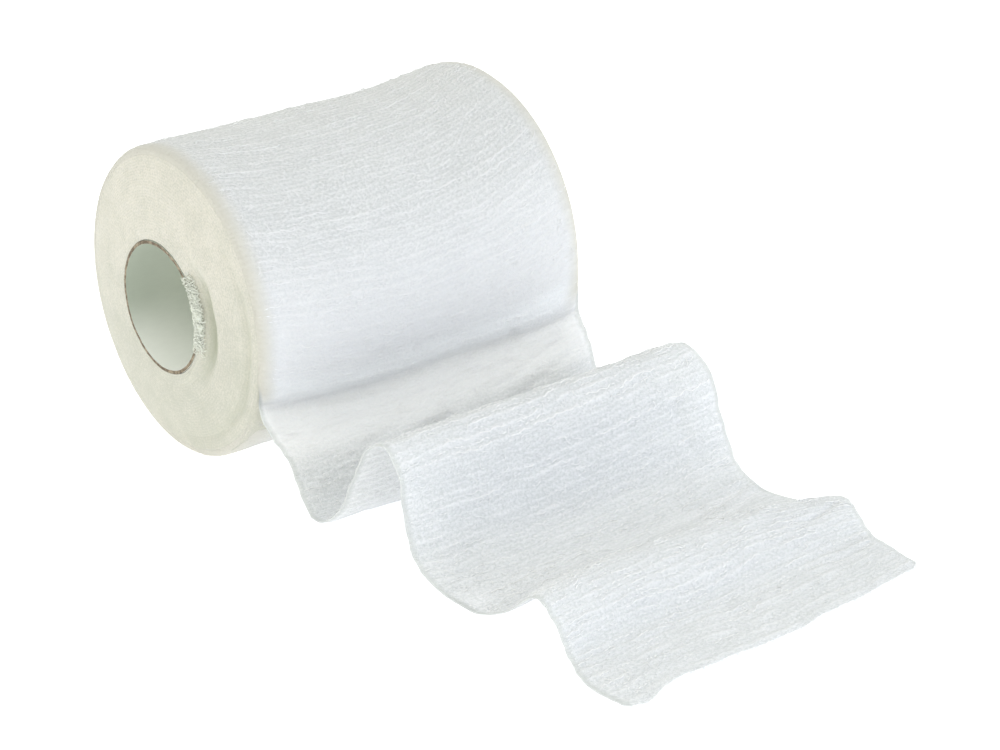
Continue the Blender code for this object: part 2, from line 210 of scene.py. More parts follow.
@dataclass
class Strip:
    """The cloth from the last turn round the roll to the cut end, before it is cut in pieces.

    A place on it is a distance along the cloth and a share of its width. Lengths are in
    millimetres.
    """

    thickness: float = 0.5
    rim_rounding: float = 2.0
    far_rim_past: float = 0.3
    leave_near_deg: float = 65.0
    leave_middle_deg: float = 59.0
    leave_far_deg: float = 73.5
    turn_deg: float = 350.0
    turn_steps: int = 60
    release_length: float = 9.0
    release_past: float = 2.5
    tuck_length: float = 24.0
    tuck_depth: float = 0.55
    slid_out: float = 3.6
    slide_power: float = 1.7
    flare: float = 1.5
    front_flare: float = 1.3
    flare_front_deg: float = 75.0
    near_spread: float = 0.35
    near_swing: float = 2.3
    far_spread: float = 0.4
    far_draw_in: float = 1.5
    cut_draw_in: float = 1.1
    low_height: float = 4.5
    edge_wander: float = 0.16
    crinkle_height: float = 0.32
    crinkle_sharpness: float = 1.6
    roll_crinkle: float = 0.24
    relief_drop: float = 0.12
    swell_height: float = 0.1
    free_swell_height: float = 0.12
    pucker_height: float = 0.1
    face_slant: float = 5.6
    crease_bow: float = 0.8
    crease_fade: float = 0.25
    wander_noise: SoftNoise = SoftNoise(11)
    quick_wander_noise: SoftNoise = SoftNoise(12)
    dash_noise: SoftNoise = SoftNoise(13)
    swell_noise: SoftNoise = SoftNoise(14)
    pucker_noise: SoftNoise = SoftNoise(15)

    def __post_init__(self) -> None:
        """Find how far along the cloth it leaves the roll, and how long it is."""
        distances = self.distances()
        self.leaves_at = float(distances[self.turn_steps + 1])
        self.length = float(distances[-1])

    def across(self, near: float, middle: float, far: float, share: Array) -> Array:
        """Read a smooth curve across the strip.

        Args:
            near: Its value at the near edge.
            middle: Its value in the middle.
            far: Its value at the far edge.
            share: Shares of the width.

        Returns:
            Its values there.
        """
        return (
            near * (1 - share) * (1 - 2 * share)
            + middle * 4 * share * (1 - share)
            + far * share * (2 * share - 1)
        )

    def outer_radius(self, x: Array, turn: Array) -> Array:
        """Radius of the outer turn.

        Args:
            x: Places along the axis, in millimetres from the middle.
            turn: Angles from straight down, in radians, positive towards -Y.

        Returns:
            Radii in millimetres, with the flare at the far rim, wider at the front
            than over the top.
        """
        share = (x + HALF_WIDTH) / STRIP_WIDTH
        front = 0.5 + 0.5 * np.cos(turn - math.radians(self.flare_front_deg))
        start = 0.72 - 0.16 * front
        flared = ease((share - start) / (1.02 - start))
        return ROLL_RADIUS + (self.flare + self.front_flare * front) * flared

    def slide(self, radius: Array) -> Array:
        """How far a turn has slid out of the near end."""
        share = np.maximum(radius - CORE_RADIUS, 0.0) / (ROLL_RADIUS - CORE_RADIUS)
        return self.slid_out * (1 - share**self.slide_power)

    def rim_profile(self, shares: Array) -> tuple[Array, Array, Array]:
        """Where the cloth lies across the roll, rounded over both rims.

        Args:
            shares: Shares of the strip's width.

        Returns:
            The places along the axis, how far each lies inside the outer radius, and
            its distance from the nearer edge, all in millimetres.
        """
        rounding = self.rim_rounding
        near_x = -HALF_WIDTH - float(self.slide(np.array(ROLL_RADIUS - rounding)))
        far_x = HALF_WIDTH + self.far_rim_past
        arc = rounding * math.pi / 2
        total = far_x - near_x - 2 * rounding + 2 * arc
        walked = shares * total
        from_edge = np.minimum(walked, total - walked)
        angle = np.clip(from_edge / rounding, 0.0, math.pi / 2)
        along = rounding * (1 - np.cos(angle)) + np.maximum(from_edge - arc, 0.0)
        x = np.where(walked < total / 2, near_x + along, far_x - along)
        return x, rounding * (1 - np.sin(angle)), from_edge

    def knots(self, shares: Array) -> Array:
        """Fold lines of the whole strip, round the roll first.

        Args:
            shares: Shares of the strip's width.

        Returns:
            The lines in millimetres, as (line, share, y and z).
        """
        leave = np.radians(
            self.across(self.leave_near_deg, self.leave_middle_deg, self.leave_far_deg, shares)
        )
        x, inset, _ = self.rim_profile(shares)
        whole = math.radians(self.turn_deg)
        lines = []
        for step in range(self.turn_steps + 1):
            left = 1 - step / self.turn_steps
            turn = leave + whole * left
            walked = whole * ROLL_RADIUS * (1 - left)
            to_go = whole * ROLL_RADIUS * left
            tuck = self.tuck_depth * (1 - ease(np.array(walked / self.tuck_length)))
            held = ease(np.array(to_go / self.release_length))
            radius = self.outer_radius(x, turn) - self.thickness / 2 - tuck - inset * held
            lines.append((-radius * np.sin(turn), AXLE_Z - radius * np.cos(turn)))
        for line in FOLD_LINES:
            ends = zip(line.near, line.middle, line.far)
            lines.append(tuple(self.across(*values, shares) for values in ends))
        return np.array(lines).transpose(0, 2, 1)

    def distances(self) -> Array:
        """Distance of each fold line along the middle of the cloth, from the first one."""
        middle = self.knots(np.array([0.5]))[:, 0]
        return np.concatenate(([0.0], np.cumsum(np.hypot(*np.diff(middle, axis=0).T))))

    def middle(self, places: Array, shares: Array) -> Array:
        """Middle of the cloth's thickness, without its crinkles.

        Args:
            places: Distances along the cloth, in millimetres.
            shares: Shares of the width.

        Returns:
            Points in millimetres, as (place, share, x y z).
        """
        knots, values = self.distances(), self.knots(shares)
        slopes = np.gradient(values, knots, axis=0)
        index = np.clip(np.searchsorted(knots, places, side="right") - 1, 0, len(knots) - 2)
        span = (knots[index + 1] - knots[index])[:, None, None]
        part = (places - knots[index])[:, None, None] / span
        square, cube = part**2, part**3
        yz = (
            (2 * cube - 3 * square + 1) * values[index]
            + (cube - 2 * square + part) * span * slopes[index]
            + (3 * square - 2 * cube) * values[index + 1]
            + (cube - square) * span * slopes[index + 1]
        )
        return np.concatenate((self.edges(places, shares, yz)[:, :, None], yz), axis=2)

    def edges(self, places: Array, shares: Array, yz: Array) -> Array:
        """Places along X of each point, with the cloth's edges drawn in where it lies low.

        Args:
            places: Distances along the cloth, in millimetres.
            shares: Shares of the width.
            yz: The points' other two coordinates, as (place, share, y and z).

        Returns:
            The places in millimetres, as (place, share).
        """
        x_roll = self.rim_profile(shares)[0][None, :]
        free = (places - self.leaves_at)[:, None]
        travel = free / (self.length - self.leaves_at)
        swing = ease((travel - 0.87) / 0.08)
        low = (1 - np.clip(yz[:, :, 1] / self.low_height, 0.0, 1.0)) * ease(free / 40)
        uneven = self.edge_wander * self.pucker_noise.at(places[:, None] / 1.7, np.array([[3.0]]))
        spread = self.near_spread * ease((travel - 0.1) / 0.2)
        near = -HALF_WIDTH - spread - self.near_swing * swing + uneven
        spread = self.far_spread * (1 - ease((travel - 0.35) / 0.1))
        drawn_in = self.far_draw_in + self.cut_draw_in * ease((travel - 0.93) / 0.05)
        far = HALF_WIDTH + spread - drawn_in * low - uneven
        x_free = near + (far - near) * shares[None, :]
        let_go = ease((free + self.release_length) / (self.release_length + self.release_past))
        return x_roll * (1 - let_go) + x_free * let_go

    def ridge_numbers(self, places: Array, across: Array) -> Array:
        """Count of crinkle ridges up to each place, as a number that is whole on a ridge.

        Args:
            places: Distances along the cloth, in millimetres.
            across: Distances from the near edge, in millimetres.

        Returns:
            The counts. The ridges wander, and on the tall fold's front they slant.
        """
        from_valley = places - self.leaves_at
        wander = (
            self.wander_noise.at(across / 17, places / 15)
            + 0.55 * self.quick_wander_noise.at(across / 6.0, places / 5)
            + 0.16 * self.quick_wander_noise.at(across / 1.7 + 9, places / 2.5)
        )
        slanted = ease((from_valley - 48) / 12) * (1 - 0.8 * ease((from_valley - 88) / 26))
        wander = wander + self.face_slant * slanted * ease((across - 16) / 66)
        knots, pitches = np.array(RIDGE_SPACINGS).T
        rates = 1 / pitches
        counts = np.concatenate(([0.0], np.cumsum(np.diff(knots) * (rates[1:] + rates[:-1]) / 2)))
        return np.interp(from_valley + wander, knots, counts)

    def strength(self, number: Array, across: Array) -> Array:
        """How clearly a ridge stands out, in dashes.

        Args:
            number: Ridge numbers.
            across: Distances from the near edge, in millimetres.

        Returns:
            Strengths from 0 to 1.
        """
        nearest = np.round(number)
        strength = 0.5 + 0.35 * self.dash_noise.at(nearest * 0.9, np.zeros_like(nearest) + 5)
        return np.clip(strength + 0.55 * self.dash_noise.at(across / 3.4, nearest), 0.0, 1.0)

    def crinkles(self, places: Array, across: Array) -> Array:
        """How strongly each place is on a crinkle ridge, from 0 to about 1."""
        number = self.ridge_numbers(places, across)
        return self.strength(number, across) * wave(number) ** self.crinkle_sharpness

    def relief(self, places: Array, shares: Array) -> Array:
        """Height of the crinkles, creases and swellings over the smooth cloth.

        Args:
            places: Distances along the cloth, in millimetres.
            shares: Shares of the width.

        Returns:
            Heights in millimetres, as (place, share).
        """
        place, across = np.meshgrid(places, shares * STRIP_WIDTH, indexing="ij")
        free = ease((place - self.leaves_at + 12) / 14)
        ridge = self.crinkles(place, across)
        height = self.crinkle_height * (self.roll_crinkle + (1 - self.roll_crinkle) * free) * ridge
        height -= self.relief_drop
        swell = self.swell_height + self.free_swell_height * free
        height += swell * self.swell_noise.at(across / 9, place / 5.5)
        height += self.pucker_height * self.pucker_noise.at(across / 2.2, place / 1.4)
        height += self.crease_height(place, across)
        edge = np.minimum(across, STRIP_WIDTH - across)
        settled = 1 - (1 - free) * (1 - ease((edge - 0.6) / 2.2))
        return height * settled * (0.1 + 0.9 * ease(edge / 2.2))

    def crease_height(self, place: Array, across: Array) -> Array:
        """Height that the listed creases add.

        Args:
            place: Distances along the cloth, in millimetres.
            across: Distances from the near edge, in millimetres.

        Returns:
            Heights in millimetres.
        """
        height = np.zeros_like(place)
        from_valley = place - self.leaves_at
        for crease in CREASES:
            start, end = np.array(crease.start), np.array(crease.end)
            way = end - start
            length = math.hypot(*way)
            way = way / length
            a, b = across - start[0], from_valley - start[1]
            along = a * way[0] + b * way[1]
            bow = self.crease_bow * np.sin(along / length * math.pi)
            off = (-a * way[1] + b * way[0] - bow) / crease.half_width
            fading = self.crease_fade * length
            fade = ease(along / fading) * ease((length - along) / fading)
            height += crease.height * fade * np.exp(-(off**2))
        return height


@dataclass
class StripSurface:
    """The strip worked out on a grid of rows along it and columns across it."""

    strip: Strip
    back_step: float = 0.9
    front_step: float = 0.46
    free_step: float = 0.37
    columns: int = 108
    fine_turn_length: float = 76.0
    joint_above_valley: float = 6.0
    cut_length: float = 11.0
    cut_fineness: float = 0.12
    rim_band: float = 4.6
    low_painted_shade_band: float = 14.0
    rim_thickness: float = 0.3
    rim_sunk: float = 0.12
    thin_edge: float = 1.5
    thinned: float = 0.65
    thread_floor: float = 0.14
    wound_floor: float = 0.03
    wound_under_floor: float = 0.3
    loose_floor: float = 0.34
    loose_under_floor: float = 0.02

    def __post_init__(self) -> None:
        """Work out the grid of points on both faces of the cloth."""
        valley, end = self.strip.leaves_at, self.strip.length
        front = valley - self.fine_turn_length
        self.places = np.concatenate(
            (
                np.arange(0.0, front, self.back_step),
                np.arange(front, valley - 0.2, self.front_step),
                np.linspace(valley, end, round((end - valley) / self.free_step)),
            )
        )
        valley_row = int(np.argmin(np.abs(self.places - valley)))
        self.joint_row = int(np.argmin(np.abs(self.places - valley + self.joint_above_valley)))
        self.shares = np.linspace(0.0, 1.0, self.columns + 1)
        self.from_valley = (self.places - self.places[valley_row])[:, None]
        self.from_rim = self.strip.rim_profile(self.shares)[2][None, :]
        self.from_edge = np.minimum(self.shares, 1 - self.shares)[None, :] * STRIP_WIDTH
        self.loose = ease((self.from_valley + 8) / 4)
        middle = self.strip.middle(self.places, self.shares)
        self.shape_the_cut(middle)
        self.normals = self.normals_of(middle)
        self.relief = self.strip.relief(self.places, self.shares)
        self.upper, self.under = self.faces(middle)

    def shape_the_cut(self, middle: Array) -> None:
        """Push and pull the last few millimetres into the ragged cut.

        Args:
            middle: Middle of the cloth, as (row, column, x y z), which is changed.
        """
        last = ease((self.places - self.places[-1] + self.cut_length) / self.cut_length)
        ragged = np.interp(self.shares, *np.array(CUT).T)
        fine = self.cut_fineness * SoftNoise(31).at(self.shares * 60, np.zeros_like(self.shares))
        middle[:, :, 1] -= last[:, None] * (ragged + fine)[None, :]

    def normals_of(self, middle: Array) -> Array:
        """Unit normals of the cloth, pointing out of the roll and up from the loose end."""
        normal = np.cross(np.gradient(middle, self.places, axis=0), np.gradient(middle, axis=1))
        return normal / np.linalg.norm(normal, axis=2, keepdims=True)

    def held(self, release: float) -> Array:
        """1 where the roll holds the cloth, falling to 0 over a length above the valley."""
        return 1 - ease((self.from_valley + release) / release)

    def rim_cream(self) -> Array:
        """1 at the roll's rims, where the cloth takes the colour of the wound edges; low under the
        roll the band is widened, which is painted shade.
        """
        shade_under_the_roll = 1 - ease((self.places - 24) / 26)[:, None]
        band = self.rim_band + self.low_painted_shade_band * shade_under_the_roll
        return self.held(7.0) * (1 - ease((self.from_rim - 1.2) / band))

    def painted_light_share(self) -> Array:
        """Painted light: how much whiter the cloth is painted low on the roll's front and where it
        leaves the roll.
        """
        pale = ease((self.from_valley + 42) / 30) * (1 - ease((self.from_valley - 5) / 9))
        return pale + 0 * self.from_rim

    def dark_edge_band(self) -> Array:
        """1 along the edges of the loose end, where the cloth is coloured darker."""
        return self.loose * (1 - ease((self.from_edge - 0.2) / 1.2))

    def thinning(self) -> Array:
        """Share of the thickness that is left, less along the edges of the loose end."""
        return 1 - self.thinned * self.loose * (1 - ease(self.from_edge / self.thin_edge))

    def through(self) -> Array:
        """How freely light goes into the cloth: less by the joint and over the rims."""
        off_joint = ease((np.abs(self.from_valley + self.joint_above_valley) - 0.8) / 4)
        return off_joint * (1 - self.held(9.0) * (1 - ease((self.from_rim - 0.8) / 3)))

    def rim_fade(self) -> Array:
        """1 where the cloth lies free or on the roll's outside, 0 where it ends over a rim."""
        return 1 - self.held(9.0) * (1 - ease(self.from_rim / 1.8))

    def faces(self, middle: Array) -> tuple[Array, Array]:
        """Both faces of the cloth, above the surface it lies on.

        Args:
            middle: Middle of the cloth, as (row, column, x y z).

        Returns:
            The upper and the under face, in the same form.
        """
        half = self.strip.thickness / 2
        fade = self.rim_fade()
        thick = half * (self.rim_thickness + (1 - self.rim_thickness) * fade)
        centre = self.relief + half * fade - self.rim_sunk * (1 - fade) - thick
        thick = thick * self.thinning()
        upper = middle + self.normals * (centre + thick)[:, :, None]
        under = middle + self.normals * (centre - thick)[:, :, None]
        wound = self.from_valley < -20
        lowest = np.where(wound, self.wound_floor, self.loose_floor + 0.25 * self.relief)
        lowest_under = np.where(wound, self.wound_under_floor, self.loose_under_floor)
        upper[:, :, 2] = np.maximum(upper[:, :, 2], lowest)
        under[:, :, 2] = np.maximum(under[:, :, 2], lowest_under)
        return upper, under

    def point(self, place: Array, share: Array, lift: Array) -> Array:
        """Points over the upper face.

        Args:
            place: Distances along the cloth, in millimetres.
            share: Shares of the width.
            lift: Height over the face, in millimetres.

        Returns:
            One point for each place, in millimetres.
        """
        row = np.clip(np.searchsorted(self.places, place) - 1, 0, len(self.places) - 2)
        part_row = (place - self.places[row]) / (self.places[row + 1] - self.places[row])
        part_row = np.clip(part_row, 0.0, 1.0)[:, None]
        exact = np.clip(share, 0.0, 1.0) * self.columns
        column = np.minimum(exact.astype(int), self.columns - 1)
        part_column = (exact - column)[:, None]
        found = []
        for grid in (self.upper, self.normals):
            near = grid[row, column] * (1 - part_row) + grid[row + 1, column] * part_row
            far = grid[row, column + 1] * (1 - part_row) + grid[row + 1, column + 1] * part_row
            found.append(near * (1 - part_column) + far * part_column)
        spots = found[0] + found[1] * lift[:, None]
        spots[:, 2] = np.maximum(spots[:, 2], self.thread_floor)
        return spots


@dataclass(frozen=True)
class Value:
    """What a node of a material gives, which can be added to, taken from and multiplied."""

    graph: "ShaderGraph"
    socket: bpy.types.NodeSocket

    def __add__(self, other: "Value | float") -> "Value":
        """Sum of the two."""
        return self.graph.math("ADD", self, other)

    def __sub__(self, other: "Value | float") -> "Value":
        """Difference of the two."""
        return self.graph.math("SUBTRACT", self, other)

    def __mul__(self, other: "Value | float") -> "Value":
        """Product of the two."""
        return self.graph.math("MULTIPLY", self, other)


Given = Value | float | tuple[float, ...]


class ShaderGraph:
    """A material being put together, with short ways to add and join its nodes."""

    def __init__(self, name: str) -> None:
        """Start a material that has only its surface shader and output.

        Args:
            name: Name of the material.
        """
        self.material = bpy.data.materials.new(name)
        self.material.use_nodes = True
        self.tree = self.material.node_tree
        self.surface = self.tree.nodes["Principled BSDF"]

    def feed(self, target: bpy.types.NodeSocket, given: Given) -> None:
        """Link a value to an input, or set the input itself.

        Args:
            target: The input.
            given: A value of another node, or a plain number, place or colour.
        """
        if isinstance(given, Value):
            self.tree.links.new(given.socket, target)
        else:
            target.default_value = given

    def shade(self, inputs: dict[str, Given]) -> None:
        """Feed the surface shader's inputs, by their names."""
        for name, given in inputs.items():
            self.feed(self.surface.inputs[name], given)

    def node(
        self, kind: str, inputs: dict[str | int, Given], output: str | int, **settings: object
    ) -> Value:
        """Add a node.

        Args:
            kind: The node's type.
            inputs: What its inputs get.
            output: Which output is wanted.
            settings: The node's own properties.

        Returns:
            That output.
        """
        node = self.tree.nodes.new(kind)
        for name, setting in settings.items():
            setattr(node, name, setting)
        for name, given in inputs.items():
            self.feed(node.inputs[name], given)
        return Value(self, node.outputs[output])

    def cloth_place(self, scale: tuple[float, float]) -> Value:
        """Place on the cloth from its own map, in millimetres times the scale.

        Args:
            scale: How much it is stretched across and along the cloth.

        Returns:
            The place.
        """
        place = self.node("ShaderNodeUVMap", {}, "UV", uv_map="strip")
        sizes = (MAP_ACROSS * scale[0], MAP_ALONG * scale[1], 1.0)
        return self.node("ShaderNodeMapping", {"Vector": place, "Scale": sizes}, "Vector")

    def object_place(self, scale: Triple = (1.0, 1.0, 1.0)) -> Value:
        """Place in the object from the roll's axle, in millimetres times the scale.

        Args:
            scale: How much each axis is stretched.

        Returns:
            The place.
        """
        inputs = {
            "Vector": self.node("ShaderNodeTexCoord", {}, "Object"),
            "Location": (0.0, 0.0, AXLE_Z * MM),
            "Scale": tuple(MM / value for value in scale),
        }
        return self.node("ShaderNodeMapping", inputs, "Vector", vector_type="TEXTURE")

    def noise(self, place: Value, detail: float, rough: float = 0.6) -> Value:
        """Noise from 0 to 1 with one cell to each unit of the place."""
        inputs = {"Vector": place, "Scale": 1.0, "Detail": detail, "Roughness": rough}
        return self.node("ShaderNodeTexNoise", inputs, "Fac")

    def part(self, place: Value, axis: str) -> Value:
        """One of the three values of a place."""
        return self.node("ShaderNodeSeparateXYZ", {"Vector": place}, axis)

    def wave(self, turns: Value) -> Value:
        """Wave from 0 to 1 that is highest at each whole turn."""
        return self.math("COSINE", turns * FULL_TURN, 0.0) * 0.5 + 0.5

    def attribute(self, name: str) -> Value:
        """A number kept on each point of the mesh."""
        return self.node("ShaderNodeAttribute", {}, "Fac", attribute_name=name)

    def between(self, value: Value, low: float, high: float) -> Value:
        """Stretch the values from low to high over 0 to 1, smoothly."""
        inputs = {"Value": value, "From Min": low, "From Max": high}
        return self.node("ShaderNodeMapRange", inputs, "Result", interpolation_type="SMOOTHSTEP")

    def math(self, operation: str, first: Value, second: Value | float) -> Value:
        """Combine two values."""
        return self.node("ShaderNodeMath", {0: first, 1: second}, 0, operation=operation)

    def mix(self, amount: Value, first: Value | Colour, second: Value | Colour) -> Value:
        """Mix two colours.

        Args:
            amount: 0 for the first colour, 1 for the second.
            first: The first colour.
            second: The second colour.

        Returns:
            The mixed colour.
        """
        node = self.tree.nodes.new("ShaderNodeMix")
        node.data_type = "RGBA"
        self.feed(node.inputs["Factor"], amount)
        for name, colour in (("A", first), ("B", second)):
            socket = next(s for s in node.inputs if s.name == name and s.type == "RGBA")
            self.feed(socket, colour if isinstance(colour, Value) else (*colour, 1.0))
        return Value(self, next(s for s in node.outputs if s.type == "RGBA"))

    def bump(self, height: Value, depth: float, strength: float) -> None:
        """Raise the surface by the height, up to the depth in millimetres."""
        inputs = {"Height": height, "Strength": strength, "Distance": depth * MM}
        self.shade({"Normal": self.node("ShaderNodeBump", inputs, "Normal")})

    def matt(self, roughness: float, specular: float) -> None:
        """Set how dull the surface is."""
        self.shade({"Roughness": roughness, "Specular IOR Level": specular})

    def soft(self, weight: float, reach: float, tint: Colour) -> None:
        """Let light into the surface.

        Args:
            weight: How much of it goes in.
            reach: How far it goes, in millimetres.
            tint: How far each colour goes, as a share of the reach.
        """
        self.shade(
            {
                "Subsurface Weight": weight,
                "Subsurface Scale": reach * MM,
                "Subsurface Radius": tint,
            }
        )


class Side(Enum):
    """Which face of the card tube a finish is for."""

    EDGE = "edge"
    WALL = "wall"


@dataclass(frozen=True)
class GauzeFinish:
    """Crinkled gauze: cool white yarns both ways over a darker, greyer ground."""

    ground: Colour = (0.62, 0.635, 0.63)
    yarn: Colour = (0.93, 0.935, 0.935)
    # painted light: whiter ground and yarn low on the roll's front, by the valley and on the under
    # face
    painted_light_ground: Colour = (0.9, 0.915, 0.93)
    painted_light_yarn: Colour = (0.985, 0.99, 0.995)
    # colour of the wound edges at the rims, and painted shade where the band is widened under the
    # roll
    rim: Colour = (0.7, 0.68, 0.61)
    dark_edge_band: Colour = (0.49, 0.51, 0.505)
    warp_pitch: float = 1.18
    warp_show: float = 0.35
    warp_wobble: float = 1.6
    roughness: float = 0.9
    specular: float = 0.2
    weave_depth: float = 0.34
    light_through: float = 0.8
    light_reach: float = 1.2
    light_tint: Colour = (1.0, 1.0, 0.96)

    def material(self, name: str) -> bpy.types.Material:
        """Build the finish.

        Args:
            name: Name of the material.

        Returns:
            The material.
        """
        graph = ShaderGraph(name)
        wobble = graph.noise(graph.cloth_place((0.35, 0.16)), 1.0)
        fuzz = graph.noise(graph.cloth_place((1.5, 2.1)), 3.0, 0.65)
        grain = graph.noise(graph.cloth_place((4.2, 5.0)), 2.0, 0.7)
        patches = graph.noise(graph.cloth_place((0.12, 0.16)), 2.0)

        across = graph.part(graph.cloth_place((1 / self.warp_pitch, 1.0)), "X")
        warp = graph.wave(across + wobble * self.warp_wobble + fuzz * 0.25)
        weft = graph.wave(graph.attribute("ridge_number") * 2.0 + fuzz * 0.35)
        threads = graph.math("MAXIMUM", warp * self.warp_show, weft)
        threads = threads * graph.between(fuzz, 0.2, 0.7)
        lit = (
            threads * 0.32
            + graph.attribute("ridge") * 0.22
            + graph.between(grain, 0.3, 0.75) * 0.45
            + graph.between(fuzz, 0.3, 0.7) * 0.4
            + patches * 0.24
        )
        # painted light: the 'pale' and 'under_face' marks whiten the cloth where light fills the
        # valley or shines through
        pale = graph.math("MAXIMUM", graph.attribute("pale"), graph.attribute("under_face"))
        colour = graph.mix(
            graph.between(lit, 0.2, 1.2),
            graph.mix(pale, self.ground, self.painted_light_ground),
            graph.mix(pale, self.yarn, self.painted_light_yarn),
        )
        # the rims take the edges' colour; under the roll this is painted shade
        colour = graph.mix(graph.attribute("rim"), colour, self.rim)
        colour = graph.mix(graph.attribute("dark_edge_band"), colour, self.dark_edge_band)
        graph.shade({"Base Color": colour})
        graph.bump(threads * 0.5 + grain * 0.9 + fuzz * 1.1, self.weave_depth, 0.8)
        graph.matt(self.roughness, self.specular)
        graph.soft(self.light_through, self.light_reach, self.light_tint)
        graph.shade({"Subsurface Weight": graph.attribute("through") * self.light_through})
        return graph.material


@dataclass(frozen=True)
class YarnFinish:
    """White crimped yarn that stands out of the gauze."""

    colour: Colour = (0.97, 0.975, 0.98)
    roughness: float = 0.8
    specular: float = 0.3

    def material(self, name: str) -> bpy.types.Material:
        """Build the finish.

        Args:
            name: Name of the material.

        Returns:
            The material.
        """
        graph = ShaderGraph(name)
        graph.shade({"Base Color": (*self.colour, 1.0)})
        graph.matt(self.roughness, self.specular)
        return graph.material


@dataclass(frozen=True)
class EdgeFeltFinish:
    """Edges of the many turns at the roll's ends: cream, felted, with faint rings, and painted
    shade in the pressed hollows and towards the bottom.
    """

    cream: Colour = (0.75, 0.715, 0.64)
    # darker felt tone, which the painted shade towards the bottom also draws on
    dark_felt_and_shade: Colour = (0.53, 0.53, 0.46)
    # painted shade for the pressed hollows
    hollow: Colour = (0.5, 0.52, 0.42)
    turn_pitch: float = 0.57
    felt_depth: float = 0.22
    low_shade: float = 0.14
    roughness: float = 0.9
    specular: float = 0.2
    light_through: float = 0.25
    light_reach: float = 1.0
    light_tint: Colour = (1.0, 0.95, 0.75)

    def material(self, name: str) -> bpy.types.Material:
        """Build the finish.

        Args:
            name: Name of the material.

        Returns:
            The material.
        """
        graph = ShaderGraph(name)
        turns = 1 / (self.turn_pitch * 10 / math.pi)
        inputs = {
            "Vector": graph.object_place((turns, turns, turns)),
            "Scale": 1.0,
            "Distortion": 1.6,
            "Detail": 2.0,
            "Detail Scale": 0.7,
        }
        rings = graph.node(
            "ShaderNodeTexWave", inputs, "Fac", wave_type="RINGS", rings_direction="X"
        )
        felt = graph.noise(graph.object_place((2.6, 2.6, 2.6)), 4.0, 0.7)
        patches = graph.noise(graph.object_place((0.16, 0.16, 0.16)), 3.0)
        # painted shade: the felt is darker towards the bottom
        below_axle = graph.part(graph.object_place(), "Z") * -1.0
        low = graph.between(below_axle, -26.0, 24.0)
        tone = felt * 0.8 + rings * 0.05 + patches * 0.3 - low * self.low_shade
        colour = graph.mix(graph.between(tone, 0.3, 0.78), self.dark_felt_and_shade, self.cream)
        # painted shade darkens the pressed hollows
        graph.shade({"Base Color": graph.mix(graph.attribute("hollow"), colour, self.hollow)})
        graph.bump(felt + rings * 0.1, self.felt_depth, 0.7)
        graph.matt(self.roughness, self.specular)
        graph.soft(self.light_through, self.light_reach, self.light_tint)
        return graph.material


@dataclass(frozen=True)
class CardFinish:
    """Card of the core: grey-green and smooth inside, brown and mottled on its cut edge, with
    painted light that makes the inside wall lighter deeper in and much lighter low down.
    """

    wall: Colour = (0.49, 0.535, 0.455)
    wall_deep_painted_light: Colour = (0.74, 0.78, 0.69)
    wall_low_painted_light: Colour = (0.97, 0.98, 0.93)
    edge: Colour = (0.13, 0.095, 0.06)
    edge_light: Colour = (0.33, 0.27, 0.19)
    fibre_shade: float = 0.06
    roughness: float = 0.75

    def material(self, side: Side) -> bpy.types.Material:
        """Build the finish.

        Args:
            side: The cut edge or the walls.

        Returns:
            The material.
        """
        graph = ShaderGraph(f"card {side.value}")
        if side is Side.EDGE:
            mottle = graph.noise(graph.object_place((1.1, 1.1, 1.1)), 4.0)
            colour = graph.mix(graph.between(mottle, 0.42, 0.62), self.edge, self.edge_light)
        else:
            fibre = graph.noise(graph.object_place((0.5, 1.5, 1.5)), 3.0)
            place = graph.object_place()
            # painted light: the wall is lighter deeper in and much lighter low down
            painted_light_deep = graph.between(graph.part(place, "X"), -41.0, -25.0)
            low = graph.between(graph.part(place, "Z") * -1.0, 1.0, 13.0)
            colour = graph.mix(low, graph.mix(painted_light_deep, self.wall, self.wall_deep_painted_light), self.wall_low_painted_light)
            brightness = fibre * self.fibre_shade + (1 - self.fibre_shade)
            colour = graph.mix(brightness, (0.0, 0.0, 0.0), colour)
        graph.shade({"Base Color": colour, "Roughness": self.roughness})
        return graph.material


def add_object(name: str, data: bpy.types.ID) -> bpy.types.Object:
    """Put data into the scene as an object at the origin.

    Args:
        name: Name of the object.
        data: Its mesh, curve, light or camera.

    Returns:
        The object.
    """
    made = bpy.data.objects.new(name, data)
    bpy.context.scene.collection.objects.link(made)
    return made


def read_points(mesh: bpy.types.Mesh) -> Array:
    """Points of a mesh, one row each, in metres."""
    spots = np.empty(len(mesh.vertices) * 3, np.float32)
    mesh.vertices.foreach_get("co", spots)
    return spots.reshape(-1, 3)


def move_points(mesh: bpy.types.Mesh, spots: Array) -> None:
    """Put all the points of a mesh elsewhere, in metres."""
    mesh.vertices.foreach_set("co", spots.astype(np.float32).ravel())
    mesh.update()


def mark_points(mesh: bpy.types.Mesh, name: str, values: Array) -> None:
    """Keep a number on each point of a mesh, for its material."""
    attribute = mesh.attributes.new(name, "FLOAT", "POINT")
    attribute.data.foreach_set("value", values.astype(np.float32))


